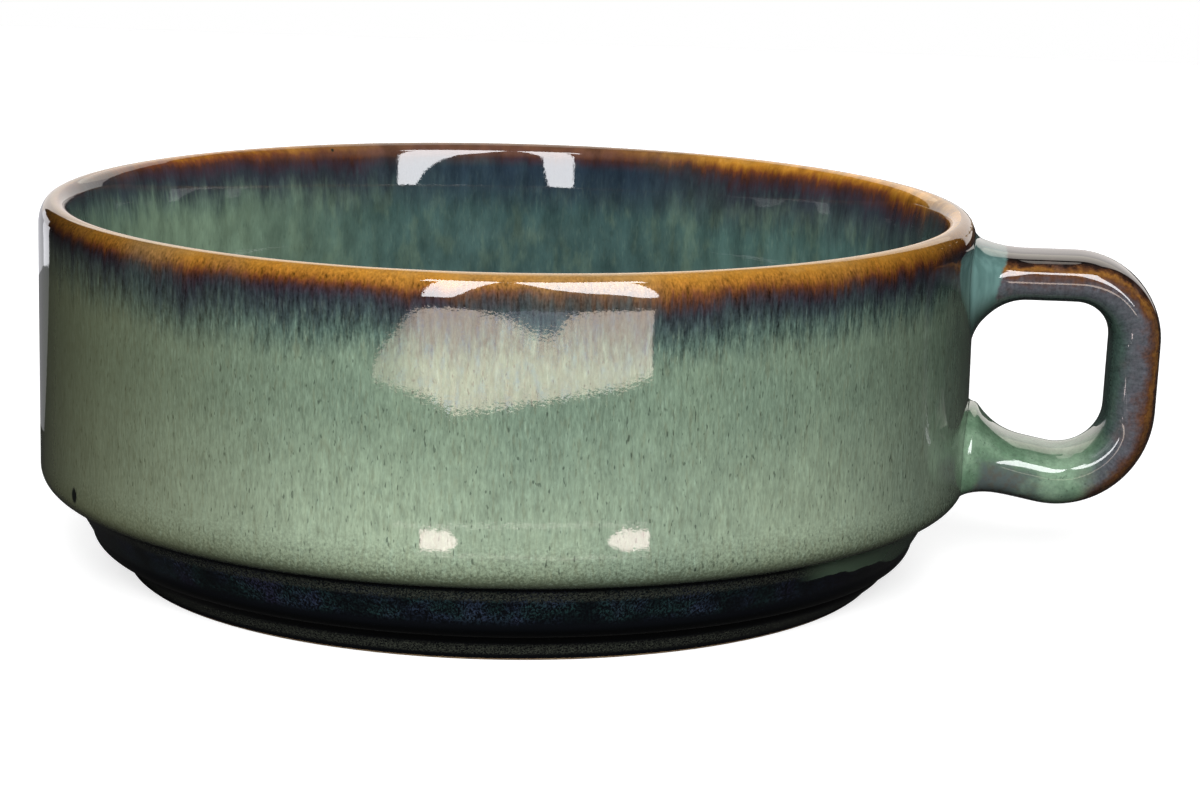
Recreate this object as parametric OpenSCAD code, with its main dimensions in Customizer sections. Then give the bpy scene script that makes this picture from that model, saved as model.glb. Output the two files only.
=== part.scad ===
// Stacking soup mug: a wide, low stoneware bowl with a loop handle luted on with slip, under coats of glaze.
// The bowl's axis is Z, the table is z = 0 and the handle points along +X. All sizes are in millimetres.

/* [Bowl] */
// Outer diameter over the wall and the lip
rim_d = 136; // [124:1:150]
// Height from the table to the top of the lip
mug_h = 54; // [50:1:66]
// Thickness of the wall, glaze included
lip_t = 3.8; // [3:0.1:4.8]
// Radius of the corner between the inside wall and the floor
corner_r = 18; // [14:0.5:21]
// Height over the table of the eating surface of the floor
floor_z = 6.2; // [5.4:0.1:7.4]
// Height over the table of the ledge that stands on the mug below
ledge_z = 12.5; // [11.5:0.1:14.5]
// How far the foot is set in from the wall, which makes the ledge
ledge_w = 4.3; // [4.2:0.1:5.6]
// Height of the rounded shoulder over the ledge
shoulder_h = 3; // [2.4:0.1:7]

/* [Foot] */
// How much the foot narrows from the ledge down to its step
foot_taper = 3; // [2:0.1:4]
// Radius of the foot's rounded step
step_r = 2.2; // [1.4:0.1:2.8]
// How far the foot ring is set in from the step
ring_inset = 3.3; // [3:0.1:4.4]
// How far the ring's outside slopes in from the step to the glaze line
ring_slope = 1.9; // [1:0.1:2.6]
// Height of the foot ring, from the table to the step
ring_h = 4.2; // [3.4:0.1:4.8]
// Width of the face that the foot ring stands on
ring_w = 4; // [3:0.1:6]
// Height of the bare clay below the glaze line
bare_h = 0.8; // [0.7:0.1:1.6]
// Depth of the recess under the floor, inside the foot ring
recess_h = 1.7; // [1.2:0.1:2.2]

/* [Glaze] */
// Thickness of every coat of glaze
glaze_t = 0.4; // [0.3:0.05:0.55]
// Radius of the pool of glaze in the corner under the ledge
pool_r = 0.9; // [0.7:0.1:1.3]

/* [Handle] */
// How far the handle reaches out from the wall
reach = 27.4; // [24:0.1:31]
// Depth of the upper arm's centre line below the top of the lip
arm_drop = 8.3; // [7.8:0.1:10]
// Thickness of the upper arm
arm_t = 6.8; // [5.6:0.1:7.6]
// Thickness of the upright grip
grip_t = 7.4; // [6.6:0.1:8.8]
// Thickness of the lower arm
low_t = 8.2; // [7:0.1:9]
// Width of the handle at its arms
arm_w = 16; // [13:0.1:18]
// Width of the handle at its upright grip
grip_w = 14.6; // [12:0.1:17]
// Bend radius of the upper corner, on the centre line
upper_bend = 8.9; // [7:0.1:10.5]
// Bend radius of the lower corner, on the centre line
lower_bend = 10.4; // [8:0.1:11.4]
// How far the lower arm sags from the wall to the lower corner
low_sag = 5.6; // [3:0.1:7]
// How far the grip leans in from its top to its foot
grip_lean = 0.8; // [0:0.1:2]

/* [Handle roots] */
// Length of arm over which each root swells
root_len = 8; // [6:0.1:9]
// Swell of the upper root at its top
upper_root_over = 1.5; // [0.8:0.1:2.4]
// Swell of the upper root at its underside
upper_root_under = 5; // [3:0.1:6]
// Swell of the lower root at its top
lower_root_over = 3.2; // [2:0.1:5]
// Swell of the lower root at its underside
lower_root_under = 0.9; // [0.4:0.1:1.6]
// Swell of each root to each side
root_side = 2; // [1:0.1:3]
// Height of the lower root's clay over the ledge, before it swells
root_clear = 3.7; // [2.4:0.1:5]

/* [Hidden] */
$fn = 120;

// Radii of the bowl
rim_r = rim_d / 2;
lip_r = lip_t / 2;
inside_r = rim_r - lip_t;
crease_r = rim_r - ledge_w;
step_top_r = crease_r - foot_taper;
ring_r = step_top_r - ring_inset;
line_r = ring_r - ring_slope;
bare_r = line_r - glaze_t;
ring_in_r = bare_r - ring_w;
// Rounding of the foot ring's edges, and of the corner between its outside and the step
edge_r = 0.5;
groove_r = 0.6;
// Width of bare clay left round the glazed patch in the recess
patch_gap = 1.5;
// Overrun of every cut
over = 1;

// Steps of an arc, by its size in the outline
fine_steps = 10;
small_steps = 6;

// Exponent of the handle's rounded section, and how fast its roots swell
section_power = 2.7;
root_power = 2.4;
// Corners round the handle's section, rings along it, and how closely the rings crowd at its two roots
section_sides = 20;
path_rings = 44;
crowding_share = 0.75;
// How deep the handle's sweep starts inside the wall, before the wall cuts it off
bury = 6;

// Points along an ellipse's arc in the plane of radius and height
function arc(centre, size, from, to, steps) =
    [for (i = [0:steps]) let (a = from + (to - from) * i / steps)
        [centre[0] + size[0] * cos(a), centre[1] + size[1] * sin(a)]];

function reversed(points) = [for (i = [len(points) - 1:-1:0]) points[i]];
function slice(points, from, to) = [for (i = [from:to]) points[i]];
function unit(v) = v / norm(v);
function right_of(d) = [d[1], -d[0]];
function last(points) = points[len(points) - 1];

// The same outline moved to its right by depth, with mitred corners
function moved_right(points, depth) =
    [for (i = [0:len(points) - 1])
        let (n = len(points) - 1,
             before = right_of(unit(points[max(i, 1)] - points[max(i, 1) - 1])),
             after = right_of(unit(points[min(i, n - 1) + 1] - points[min(i, n - 1)])),
             middle = unit(before + after))
        points[i] + middle * depth / (middle * after)];

// Glazed surface, from the middle of the floor up the inside, over the lip and down the outside
inside_line = concat(
    [[0, floor_z]],
    arc([inside_r - corner_r, floor_z + corner_r], [corner_r, corner_r], -90, 0, fine_steps),
    reversed(arc([rim_r - lip_r, mug_h - lip_r], [lip_r, lip_r], 90, 180, small_steps)));
outside_line = concat(
    arc([rim_r - lip_r, mug_h - lip_r], [lip_r, lip_r], 90, 0, small_steps),
    arc([crease_r + pool_r, ledge_z + shoulder_h], [ledge_w - pool_r, shoulder_h], 0, -90, fine_steps));
foot_line = concat(
    arc([crease_r + pool_r, ledge_z - pool_r], [pool_r, pool_r], 90, 180, small_steps),
    arc([step_top_r - step_r, ring_h + step_r], [step_r, step_r], 0, -90, small_steps),
    arc([ring_r + groove_r, ring_h - groove_r], [groove_r, groove_r], 90, 180, small_steps),
    [[line_r, bare_h]]);

// The lines share their end points, so each is joined without its first point
surface = concat(inside_line, slice(outside_line, 1, len(outside_line) - 1), slice(foot_line, 1, len(foot_line) - 1));
clay = moved_right(surface, glaze_t);
lip_at = len(inside_line) - 1;
ledge_at = lip_at + len(outside_line) - 1;
line_at = len(surface) - 1;

// Section of a coat of glaze between two places on the surface
function coat(from, to) = concat(slice(surface, from, to), reversed(slice(clay, from, to)));

module turned(points) {
    rotate_extrude() polygon(points);
}

// Everything inside the glazed outside of the bowl, which cuts off the handle's roots
module filled_bowl() {
    turned(concat([[0, mug_h]], slice(surface, lip_at, line_at), [[0, bare_h]]));
}

// The handle's centre line runs out from the wall, down and back in, as four corners with two of them bent
bottom_half = low_t / 2 - glaze_t;
upper_z = mug_h - arm_drop;
root_z = ledge_z + root_clear + bottom_half;
grip_x = rim_r + reach - grip_t / 2;
start_x = rim_r - bury;
corners = [[start_x, upper_z], [grip_x, upper_z], [grip_x - grip_lean, root_z - low_sag], [start_x, root_z]];

// Cuts a corner by an arc: where the arc starts, its centre, its first direction and its turn
function bend(before, corner, after, radius) =
    let (d_in = unit(corner - before), d_out = unit(after - corner),
         turn = acos(d_in * d_out), back = radius * tan(turn / 2),
         begin = corner - d_in * back, centre = begin + right_of(d_in) * radius)
    [begin, centre, turn, back, d_in, d_out];

upper = bend(corners[0], corners[1], corners[2], upper_bend);
lower = bend(corners[1], corners[2], corners[3], lower_bend);
arm_len = norm(corners[1] - corners[0]) - upper[3];
upper_len = upper_bend * upper[2] * PI / 180;
grip_len = norm(corners[2] - corners[1]) - upper[3] - lower[3];
lower_len = lower_bend * lower[2] * PI / 180;
low_len = norm(corners[3] - corners[2]) - lower[3];
path_len = arm_len + upper_len + grip_len + lower_len + low_len;

function turned_right(v, a) = [v[0] * cos(a) + v[1] * sin(a), -v[0] * sin(a) + v[1] * cos(a)];
function on_bend(b, radius, s) =
    let (a = s / radius * 180 / PI)
    [b[1] - turned_right(right_of(b[4]), a) * radius, turned_right(b[4], a)];

// Place and direction on the centre line at a length s from its start
function path_at(s) =
    s < arm_len ? [corners[0] + upper[4] * s, upper[4]] :
    s < arm_len + upper_len ? on_bend(upper, upper_bend, s - arm_len) :
    s < arm_len + upper_len + grip_len ?
        [corners[1] + upper[5] * (upper[3] + s - arm_len - upper_len), upper[5]] :
    s < path_len - low_len ? on_bend(lower, lower_bend, s - arm_len - upper_len - grip_len) :
    [corners[3] - lower[5] * (path_len - s), lower[5]];

// Swell of a root at a distance from the wall, as a share of its full swell
function swell_share(distance) = pow(max(0, 1 - max(0, distance) / root_len), root_power);
function mix(a, b, share) = a + (b - a) * share;
function smooth(share) = let (x = min(1, max(0, share))) x * x * (3 - 2 * x);

// Half sizes of the handle at a length s, as [outer side, inner side, width]
function half_sizes(s) =
    let (to_grip = smooth((s - arm_len) / upper_len),
         to_low = smooth((s - arm_len - upper_len - grip_len) / lower_len),
         thick = mix(mix(arm_t, grip_t, to_grip), low_t, to_low) / 2,
         wide = mix(mix(arm_w, grip_w, to_grip), arm_w, to_low) / 2,
         high = swell_share(s - bury),
         low = swell_share(path_len - s - bury * path_len_share))
    [thick + upper_root_over * high + lower_root_under * low,
     thick + upper_root_under * high + lower_root_over * low,
     wide + root_side * (high + low)];
// Length of the sloping lower arm for each unit of its reach
path_len_share = norm(corners[3] - corners[2]) / (corners[2][0] - corners[3][0]);

// Corner i of a rounded section with the given half sizes, as [to the outer side, across]
function signed_power(x, p) = sign(x) * pow(abs(x), p);
function section_point(half, i) =
    let (a = 360 * i / section_sides, up = signed_power(sin(a), 2 / section_power))
    [(up > 0 ? half[0] : half[1]) * up, half[2] * signed_power(cos(a), 2 / section_power)];

// The rings crowd at the two roots, where the handle swells
function ring_s(i) =
    let (share = i / path_rings)
    path_len * (share - crowding_share * sin(360 * share) / 360 * 180 / PI / PI);

// The whole handle, as one closed sweep that starts and ends inside the wall, thinner all round by depth
module handle_sweep(depth) {
    points = [for (i = [0:path_rings])
        let (s = ring_s(i), at = path_at(s), out = -right_of(at[1]), half = half_sizes(s) - [depth, depth, depth])
        for (j = [0:section_sides - 1])
            let (q = section_point(half, j), p = at[0] + out * q[0]) [p[0], q[1], p[1]]];
    sides = [for (i = [0:path_rings - 1]) for (j = [0:section_sides - 1])
        let (a = i * section_sides + j, b = i * section_sides + (j + 1) % section_sides)
        for (face = [[a, b + section_sides, b], [a, a + section_sides, b + section_sides]]) face];
    first = [for (j = [1:section_sides - 2]) [0, j, j + 1]];
    start = path_rings * section_sides;
    final = [for (j = [1:section_sides - 2]) [start, start + j + 1, start + j]];
    polyhedron(points, concat(sides, first, final));
}

// Outline of a root's clay, swept straight in through the coat of glaze
module root_prism(height, half) {
    translate([rim_r - ledge_w - over, 0, height])
        rotate([90, 0, 90])
            linear_extrude(ledge_w + 2 * over)
                polygon([for (i = [0:section_sides - 1]) let (q = section_point(half, i)) [q[1], q[0]]]);
}
module upper_root() {
    root_prism(upper_z, half_sizes(bury) - [glaze_t, glaze_t, glaze_t]);
}
module lower_root() {
    half = half_sizes(path_len - bury) - [glaze_t, glaze_t, glaze_t];
    root_prism(root_z, [half[1], half[0], half[2]]);
}

module outside_coat() {
    turned(coat(lip_at, ledge_at));
}

// Thrown bowl: floor, wall, shoulder, stepped foot and the bare ring that it stands on
module stoneware_bowl() {
    color("tan") turned(concat(
        clay,
        [[bare_r, edge_r]],
        arc([bare_r - edge_r, edge_r], [edge_r, edge_r], 0, -90, small_steps),
        arc([ring_in_r + edge_r, edge_r], [edge_r, edge_r], -90, -180, small_steps),
        [[ring_in_r, recess_h], [0, recess_h]]));
}

// Pressed loop handle, cut to the curve of the glazed wall
module stoneware_handle() {
    color("burlywood") difference() {
        handle_sweep(glaze_t);
        filled_bowl();
    }
}

// Slip that lutes the handle's upper root to the bare clay of the wall
module upper_slip_joint() {
    color("sienna") intersection() {
        outside_coat();
        upper_root();
    }
}

// Slip that lutes the handle's lower root to the bare clay of the shoulder
module lower_slip_joint() {
    color("sienna") intersection() {
        outside_coat();
        lower_root();
    }
}

// Green glaze inside, up to the crown of the lip
module inside_glaze() {
    color("darkseagreen") turned(coat(0, lip_at));
}

// Green glaze outside, from the crown of the lip to the ledge, open where the slip holds the handle
module outside_glaze() {
    color("cadetblue") difference() {
        outside_coat();
        upper_root();
        lower_root();
    }
}

// Dark glaze on the stepped foot, from the ledge to the glaze line
module foot_glaze() {
    color("midnightblue") turned(coat(ledge_at, line_at));
}

// Patch of dark glaze in the recess inside the foot ring
module underside_glaze() {
    color("darkslategray") translate([0, 0, recess_h - glaze_t]) cylinder(r = ring_in_r - patch_gap, h = glaze_t);
}

// Glaze round the handle, meeting the glaze of the wall at both roots
module handle_glaze() {
    color("darkslateblue") difference() {
        handle_sweep(0);
        handle_sweep(glaze_t);
        filled_bowl();
    }
}

stoneware_bowl();
stoneware_handle();
upper_slip_joint();
lower_slip_joint();
inside_glaze();
outside_glaze();
foot_glaze();
underside_glaze();
handle_glaze();
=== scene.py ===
import math

import bpy
import numpy as np
from mathutils import Matrix, Vector


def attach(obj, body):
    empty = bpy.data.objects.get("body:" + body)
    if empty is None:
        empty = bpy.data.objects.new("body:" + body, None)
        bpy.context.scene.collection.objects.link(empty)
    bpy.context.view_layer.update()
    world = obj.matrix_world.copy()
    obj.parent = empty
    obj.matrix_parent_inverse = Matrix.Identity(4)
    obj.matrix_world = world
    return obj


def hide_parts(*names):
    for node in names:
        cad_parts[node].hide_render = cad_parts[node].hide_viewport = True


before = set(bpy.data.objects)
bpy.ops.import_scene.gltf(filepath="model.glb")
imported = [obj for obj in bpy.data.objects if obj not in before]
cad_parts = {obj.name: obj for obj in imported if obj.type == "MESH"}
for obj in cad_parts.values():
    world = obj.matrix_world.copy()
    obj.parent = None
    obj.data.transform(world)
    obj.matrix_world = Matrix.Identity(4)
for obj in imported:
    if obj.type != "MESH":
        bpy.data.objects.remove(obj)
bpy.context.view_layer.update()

mm = 0.001


# camera

cameraSetup = dict(
    azimuth=6.156, elevation=11.06, roll=1.065,  # degrees
    lens=96.22, distance=0.473985, lookHeight=0.02992,  # the stand point lies on the line to the bowl's axis
    aimRight=0.013885, aimDown=0.00558,  # from there to the middle of the frame
    clipStart=0.01,
)


def placeCamera(c):
    # stand = axis point + distance * (sin a cos e, -cos a cos e, sin e),
    # then the view turns to the middle of the frame and rolls
    a, e, r = (math.radians(c[k]) for k in ("azimuth", "elevation", "roll"))
    back = Vector((math.sin(a) * math.cos(e), -math.cos(a) * math.cos(e), math.sin(e)))
    look = Vector((0, 0, c["lookHeight"]))
    side = Vector((math.cos(a), math.sin(a), 0))
    up = back.cross(side)
    stand = look + back * c["distance"]
    aim = look + side * c["aimRight"] - up * c["aimDown"]
    backward = (stand - aim).normalized()
    right = up.cross(backward).normalized()
    upward = backward.cross(right)
    rolledRight = right * math.cos(r) + upward * math.sin(r)
    rolledUp = upward * math.cos(r) - right * math.sin(r)
    data = bpy.data.cameras.new("camera")
    data.lens = c["lens"]
    data.clip_start = c["clipStart"]
    camera = bpy.data.objects.new("camera", data)
    turn = Matrix((rolledRight, rolledUp, backward)).transposed().to_4x4()
    camera.matrix_world = Matrix.Translation(stand) @ turn
    bpy.context.collection.objects.link(camera)
    bpy.context.scene.camera = camera


placeCamera(cameraSetup)
print("camera placed")


# meshes from grids

def joinGrids(name, grids, bands, fans=()):
    # each grid is (points[row, column, xyz], normals, facing +1 or -1), closed round its columns;
    # a band joins a row of one grid to a row of another, and a fan closes a row onto one point
    points, faces, faceNormals, starts, total = [], [], [], [], 0

    def ring(grid, row):
        # the numbers of a row's points, and of the point after each
        rows, columns = grids[grid][0].shape[:2]
        numbers = starts[grid] + (row % rows) * columns + np.arange(columns)
        return numbers, np.roll(numbers, -1)

    for place, normal, facing in grids:
        starts.append(total)
        points.append(place.reshape(-1, 3))
        numbers = np.arange(place[..., 0].size).reshape(place.shape[:2])
        after = np.roll(numbers, -1, 1)
        quad = np.stack([numbers[:-1], after[:-1], after[1:], numbers[1:]], -1).reshape(-1, 4)[:, ::facing]
        faces.append(quad + total)
        faceNormals.append((normal.reshape(-1, 3) * facing)[quad])
        total += numbers.size
    for sideA, sideB, facing in bands:
        (a, afterA), (b, afterB) = ring(*sideA), ring(*sideB)
        faces.append(np.stack([a, afterA, afterB, b], -1)[:, ::facing])
        faceNormals.append(np.zeros((len(a), 4, 3)))
    triangles = [np.zeros((0, 3), int)]
    for side, tip, facing in fans:
        a, afterA = ring(*side)
        points.append(np.array([tip]))
        triangles.append(np.stack([a, afterA, np.full(len(a), total)], -1)[:, ::facing])
        total += 1
    quads, tris = np.concatenate(faces), np.concatenate(triangles)
    allPoints = np.concatenate(points) * mm
    mesh = bpy.data.meshes.new(name)
    mesh.from_pydata(allPoints, [], quads.tolist() + tris.tolist(), shade_flat=False)
    # faces without a given normal take their own flat one
    flat = np.zeros(len(mesh.polygons) * 3)
    mesh.polygons.foreach_get("normal", flat)
    flat = flat.reshape(-1, 3)
    given = np.concatenate(faceNormals)
    missing = np.abs(given).sum((1, 2)) == 0
    given[missing] = flat[:len(quads)][missing][:, None, :]
    loopNormals = np.concatenate([given.reshape(-1, 3), np.repeat(flat[len(quads):], 3, 0)])
    mesh.normals_split_custom_set(loopNormals.tolist())
    piece = bpy.data.objects.new(name, mesh)
    bpy.context.collection.objects.link(piece)
    return piece


def gridNormals(place, guide):
    # normal = cross product of the steps along rows and round columns, turned to the side of the guide direction
    alongRows = np.gradient(place, axis=0)
    roundColumns = np.roll(place, -1, 1) - np.roll(place, 1, 1)
    normal = np.cross(alongRows, roundColumns)
    size = np.linalg.norm(normal, axis=-1, keepdims=True)
    normal = np.where(size > 1e-12, normal / np.maximum(size, 1e-12), guide)
    return normal * np.sign((normal * guide).sum(-1, keepdims=True) + 1e-12)


def smooth(x):
    # x * x * (3 - 2x), from 0 to 1 with level ends
    x = np.clip(x, 0, 1)
    return x * x * (3 - 2 * x)


# bowl

bowl = dict(
    rimRadius=68, height=54, wall=3.8, floorHeight=6.2, cornerRadius=18,  # mm, as in the solids
    ledgeHeight=12.5, ledgeWidth=4.3, shoulderHeight=3, pool=0.9,
    footTaper=3, stepRadius=2.2, ringInset=3.3, ringSlope=2.2, ringHeight=4.2, groove=0.6, bareHeight=0.36,
    glaze=0.4, softening=0.3, columns=384, rowLength=0.9, rowTurn=4,
    # the lip's bends, each as (tilt reached in degrees, radius)
    outerBends=((59.5, 1.93), (83.5, 4.55), (90, 9)),
    innerBends=((59.5, 1.93), (79.5, 2.43), (84.5, 60), (90, 30)), innerEnd=38,
    bendSteps=24, cornerSteps=60, shoulderSteps=40, poolSteps=20, footSteps=30, grooveSteps=12, lineStep=0.05,
    innerEvery=4,  # a row of the inner skin for so many of the outer
    # waves of the throwing, each as (how many round, lean per mm up, start, size)
    waves=((3, 0.02, 0.4, 1), (7, -0.04, 2.1, 0.7), (2, 0.05, 0, 0.6), (11, 0.06, 1, 0.4)),
    waveSum=2.7, wobble=0.015, waveFade=20, joinWidth=0.42,
    droop=0.28, droopFrom=40, droopRise=14, droopAt=0.9, droopPower=3,
    footRun=0.9, runHeight=2.6, runReach=1.2, runAt=-0.4, runWidth=0.5,
)


def arcPoints(centre, size, start, end, steps):
    # point = centre + size * (cos a, sin a)
    a = np.radians(np.linspace(start, end, steps + 1))
    return np.array(centre) + np.array(size) * np.stack([np.cos(a), np.sin(a)], -1)


def lipSide(b, bends):
    # from the crown down one side: step = radius * (sin a2 - sin a1) outward and radius * (cos a2 - cos a1) up,
    # with each radius of bend kept until its own tilt is reached
    ends = [0] + [end for end, _ in bends]
    tilt = np.radians(np.concatenate([[0]] + [np.linspace(first, last, b["bendSteps"] + 1)[1:]
                                              for first, last in zip(ends, ends[1:])]))
    radius = np.repeat([size for _, size in bends], b["bendSteps"])
    steps = np.stack([np.diff(np.sin(tilt)), np.diff(np.cos(tilt))], -1) * radius[:, None]
    return np.concatenate([[[0, 0]], np.cumsum(steps, axis=0)])


def bowlOutline(b):
    # floor, inside corner, inside wall, lip, outside wall, shoulder, ledge, foot cone, step, groove and ring,
    # as one line
    outer, inner = lipSide(b, b["outerBends"]), lipSide(b, b["innerBends"])
    top = np.array([b["rimRadius"] - outer[-1, 0], b["height"]])
    inside = b["rimRadius"] - b["wall"]
    crease = b["rimRadius"] - b["ledgeWidth"]
    step = crease - b["footTaper"]
    ring = step - b["ringInset"]
    line = np.concatenate([
        [[0, b["floorHeight"]]],
        arcPoints((inside - b["cornerRadius"], b["floorHeight"] + b["cornerRadius"]), b["cornerRadius"],
                  -90, 0, b["cornerSteps"]),
        [[top[0] - inner[-1, 0], b["innerEnd"]]],
        top + inner[::-1] * (-1, 1), top + outer,
        arcPoints((crease + b["pool"], b["ledgeHeight"] + b["shoulderHeight"]),
                  (b["ledgeWidth"] - b["pool"], b["shoulderHeight"]), 0, -90, b["shoulderSteps"]),
        arcPoints((crease + b["pool"], b["ledgeHeight"] - b["pool"]), b["pool"], 90, 180, b["poolSteps"]),
        arcPoints((step - b["stepRadius"], b["ringHeight"] + b["stepRadius"]), b["stepRadius"],
                  0, -90, b["footSteps"]),
        arcPoints((ring + b["groove"], b["ringHeight"] - b["groove"]), b["groove"], 90, 180, b["grooveSteps"]),
        [[ring - b["ringSlope"], b["bareHeight"]]]])
    # evened out to equal steps, then softened by a bell-shaped average over its neighbours
    keep = np.concatenate([[True], np.linalg.norm(np.diff(line, axis=0), axis=1) > 1e-6])
    line = line[keep]
    run = np.concatenate([[0], np.cumsum(np.linalg.norm(np.diff(line, axis=0), axis=1))])
    step = b["lineStep"]
    even = np.arange(0, run[-1] + step / 2, step)
    line = np.stack([np.interp(even, run, part) for part in line.T], -1)
    reach = int(4 * b["softening"] / step)
    bell = np.exp(-0.5 * (np.arange(-reach, reach + 1) * step / b["softening"]) ** 2)
    bell /= bell.sum()
    before = 2 * line[0] - line[reach:0:-1]
    after = 2 * line[-1] - line[-2:-reach - 2:-1]
    padded = np.concatenate([before, line, after])
    return np.stack([np.convolve(part, bell, "valid") for part in padded.T], -1), even


def chooseRows(line, even, b):
    # a row at each rowLength of run or rowTurn of bend, whichever comes first
    heading = np.unwrap(np.arctan2(*np.gradient(line, axis=0).T[::-1]))
    count = even / b["rowLength"] + np.degrees(np.cumsum(np.abs(np.gradient(heading)))) / b["rowTurn"]
    return np.unique(np.searchsorted(count, np.arange(0, count[-1])).clip(0, len(even) - 1))


line, even = bowlOutline(bowl)
rows = chooseRows(line, even, bowl)
crown = int(np.argmax(line[:, 1]))
ledgeSpot = np.array([bowl["rimRadius"] - bowl["ledgeWidth"] + bowl["pool"], bowl["ledgeHeight"]])
ledge = int(np.argmin(np.linalg.norm(line - ledgeSpot, axis=1)))
rows = np.unique(np.concatenate([rows, [crown, ledge, len(line) - 1]]))
angle = -np.arange(bowl["columns"]) * 2 * np.pi / bowl["columns"]


def bellRound(t, at, width):
    # exp(-(d / width) ** 2), with d the angle from "at", the short way round
    return np.exp(-(((t - at + np.pi) % (2 * np.pi) - np.pi) / width) ** 2)


def bowlGrid(b):
    # radius and height of the outline carried round the axis, moved along its normal by slow waves of the throwing
    r, z = line[rows, 0], line[rows, 1]
    tangent = np.gradient(line, axis=0)[rows]
    tangent /= np.linalg.norm(tangent, axis=1, keepdims=True)
    out = np.stack([-tangent[:, 1], tangent[:, 0]], -1)  # to the left of the way from floor to foot: into the air
    t = angle[None, :]
    h = z[:, None]
    wave = sum(size * np.sin(count * t + lean * h + start) for count, lean, start, size in b["waves"])
    wave = (wave / b["waveSum"] - 1) * b["wobble"] * np.clip((r[:, None] - b["waveFade"]) / b["waveFade"], 0, 1)
    wave = wave * (1 - bellRound(t, 0, b["joinWidth"]))  # none where the handle is joined
    # the lip sinks a little at the back, on the handle's side
    sink = b["droop"] * smooth((h - b["droopFrom"]) / b["droopRise"])
    sink = sink * (0.5 + 0.5 * np.cos(t - b["droopAt"])) ** b["droopPower"]
    # towards the handle a run of thick glaze fills the groove of the foot
    low = (np.arange(len(line))[rows] > ledge)[:, None]
    filled = b["footRun"] * low * np.exp(-((h - b["runHeight"]) / b["runReach"]) ** 2)
    filled = filled * bellRound(t, b["runAt"], b["runWidth"])
    radius = r[:, None] + out[:, :1] * wave + filled
    place = np.stack([radius * np.cos(t), radius * np.sin(t), h + out[:, 1:] * wave - sink], -1)
    guide = np.stack([out[:, :1] * np.cos(t), out[:, :1] * np.sin(t), out[:, 1:] + 0 * t], -1)
    return place, gridNormals(place, guide)


bowlPlace, bowlNormal = bowlGrid(bowl)


def coatPiece(name, first, last, atAxis=False):
    # outer skin of the rows from first to last, inner skin one glaze thickness below, closed at both ends
    low, high = np.searchsorted(rows, [first, last])
    place, normal = bowlPlace[low:high + 1], bowlNormal[low:high + 1]
    if atAxis:
        place, normal = place[1:], normal[1:]
    picked = np.unique(np.append(np.arange(0, len(place), bowl["innerEvery"]), len(place) - 1))
    inner = (place - normal * bowl["glaze"])[picked]
    grids = [(place, normal, 1), (inner, normal[picked], -1)]
    if atAxis:
        top = (0, 0, bowl["floorHeight"])
        bottom = (0, 0, bowl["floorHeight"] - bowl["glaze"])
        return joinGrids(name, grids, [((0, -1), (1, -1), 1)], [((0, 0), top, -1), ((1, 0), bottom, 1)])
    return joinGrids(name, grids, [((0, 0), (1, 0), -1), ((0, -1), (1, -1), 1)])


insideCoat = coatPiece("inside_coat", 0, crown, True)
outsideCoat = coatPiece("outside_coat", crown, ledge)
footCoat = coatPiece("foot_coat", ledge, len(line) - 1)
print("bowl coats:", [len(o.data.polygons) for o in (insideCoat, outsideCoat, footCoat)])


# handle

handle = dict(
    reach=27.4, armDrop=8.3, bury=6, rootClear=3.7, lowSag=5.6, gripLean=0.8,  # mm, as in the solids
    upperBend=8.9, lowerBend=10.4, armThick=6.8, gripThick=7.4, lowThick=8.2, armWide=16, gripWide=14.6,
    rootLength=8, rootPower=2.4, upperOver=1.5, upperUnder=5, lowerOver=3.2, lowerUnder=0.9, rootSide=2,
    sectionPower=2.7, sides=128, rowLength=0.45, easing=0.35,
    fillet=1.3, filletTop=1, filletUnder=4.2, filletRows=10, lowGrown=0.5, lowGrownUnder=0.05, underFrom=-0.2,
    lineSteps=6000, easeSteps=200, probes=2400, passes=12,
)


def handleLine(h, b):
    # the heading is steady on the straights and turns evenly on the bends;
    # the place is the running sum of the heading
    half = h["lowThick"] / 2 - b["glaze"]
    top, root = b["height"] - h["armDrop"], b["ledgeHeight"] + h["rootClear"] + half
    gripX, startX = b["rimRadius"] + h["reach"] - h["gripThick"] / 2, b["rimRadius"] - h["bury"]
    corners = np.array([[startX, top], [gripX, top], [gripX - h["gripLean"], root - h["lowSag"]], [startX, root]])
    legs = np.diff(corners, axis=0)
    lengths = np.linalg.norm(legs, axis=1)
    heads = np.unwrap(np.arctan2(legs[:, 1], legs[:, 0]))
    heads = np.where(heads > 1e-9, heads - 2 * np.pi, heads)
    turns = np.abs(np.diff(heads))
    bends = np.array([h["upperBend"], h["lowerBend"]])
    backs = bends * np.tan(turns / 2)
    arm = lengths[0] - backs[0]
    marks = np.cumsum([0, arm, bends[0] * turns[0], lengths[1] - backs.sum(), bends[1] * turns[1],
                       lengths[2] - backs[1]])
    s = np.linspace(0, marks[-1], h["lineSteps"])
    heading = np.interp(s, marks, [heads[0], heads[0], heads[1], heads[1], heads[2], heads[2]])
    step = s[1] - s[0]
    reach = h["easeSteps"]
    ease = np.exp(-0.5 * (np.arange(-reach, reach + 1) * step / h["easing"]) ** 2)
    heading = np.convolve(np.pad(heading, reach, "edge"), ease / ease.sum(), "valid")
    direction = np.stack([np.cos(heading), np.sin(heading)], -1)
    place = corners[0] + np.concatenate([[[0, 0]], np.cumsum((direction[1:] + direction[:-1]) / 2 * step, axis=0)])
    place += (corners[3] - place[-1]) * (s / s[-1])[:, None]
    slant = lengths[2] / (corners[2][0] - corners[3][0])
    return s, place, direction, marks, slant


def wallRadiusAt(z):
    # outside radius of the bowl at a height, read from its outline between the lip and the ledge
    part = line[crown:ledge + 1][::-1]
    return np.interp(z, part[:, 1], part[:, 0])


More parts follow.
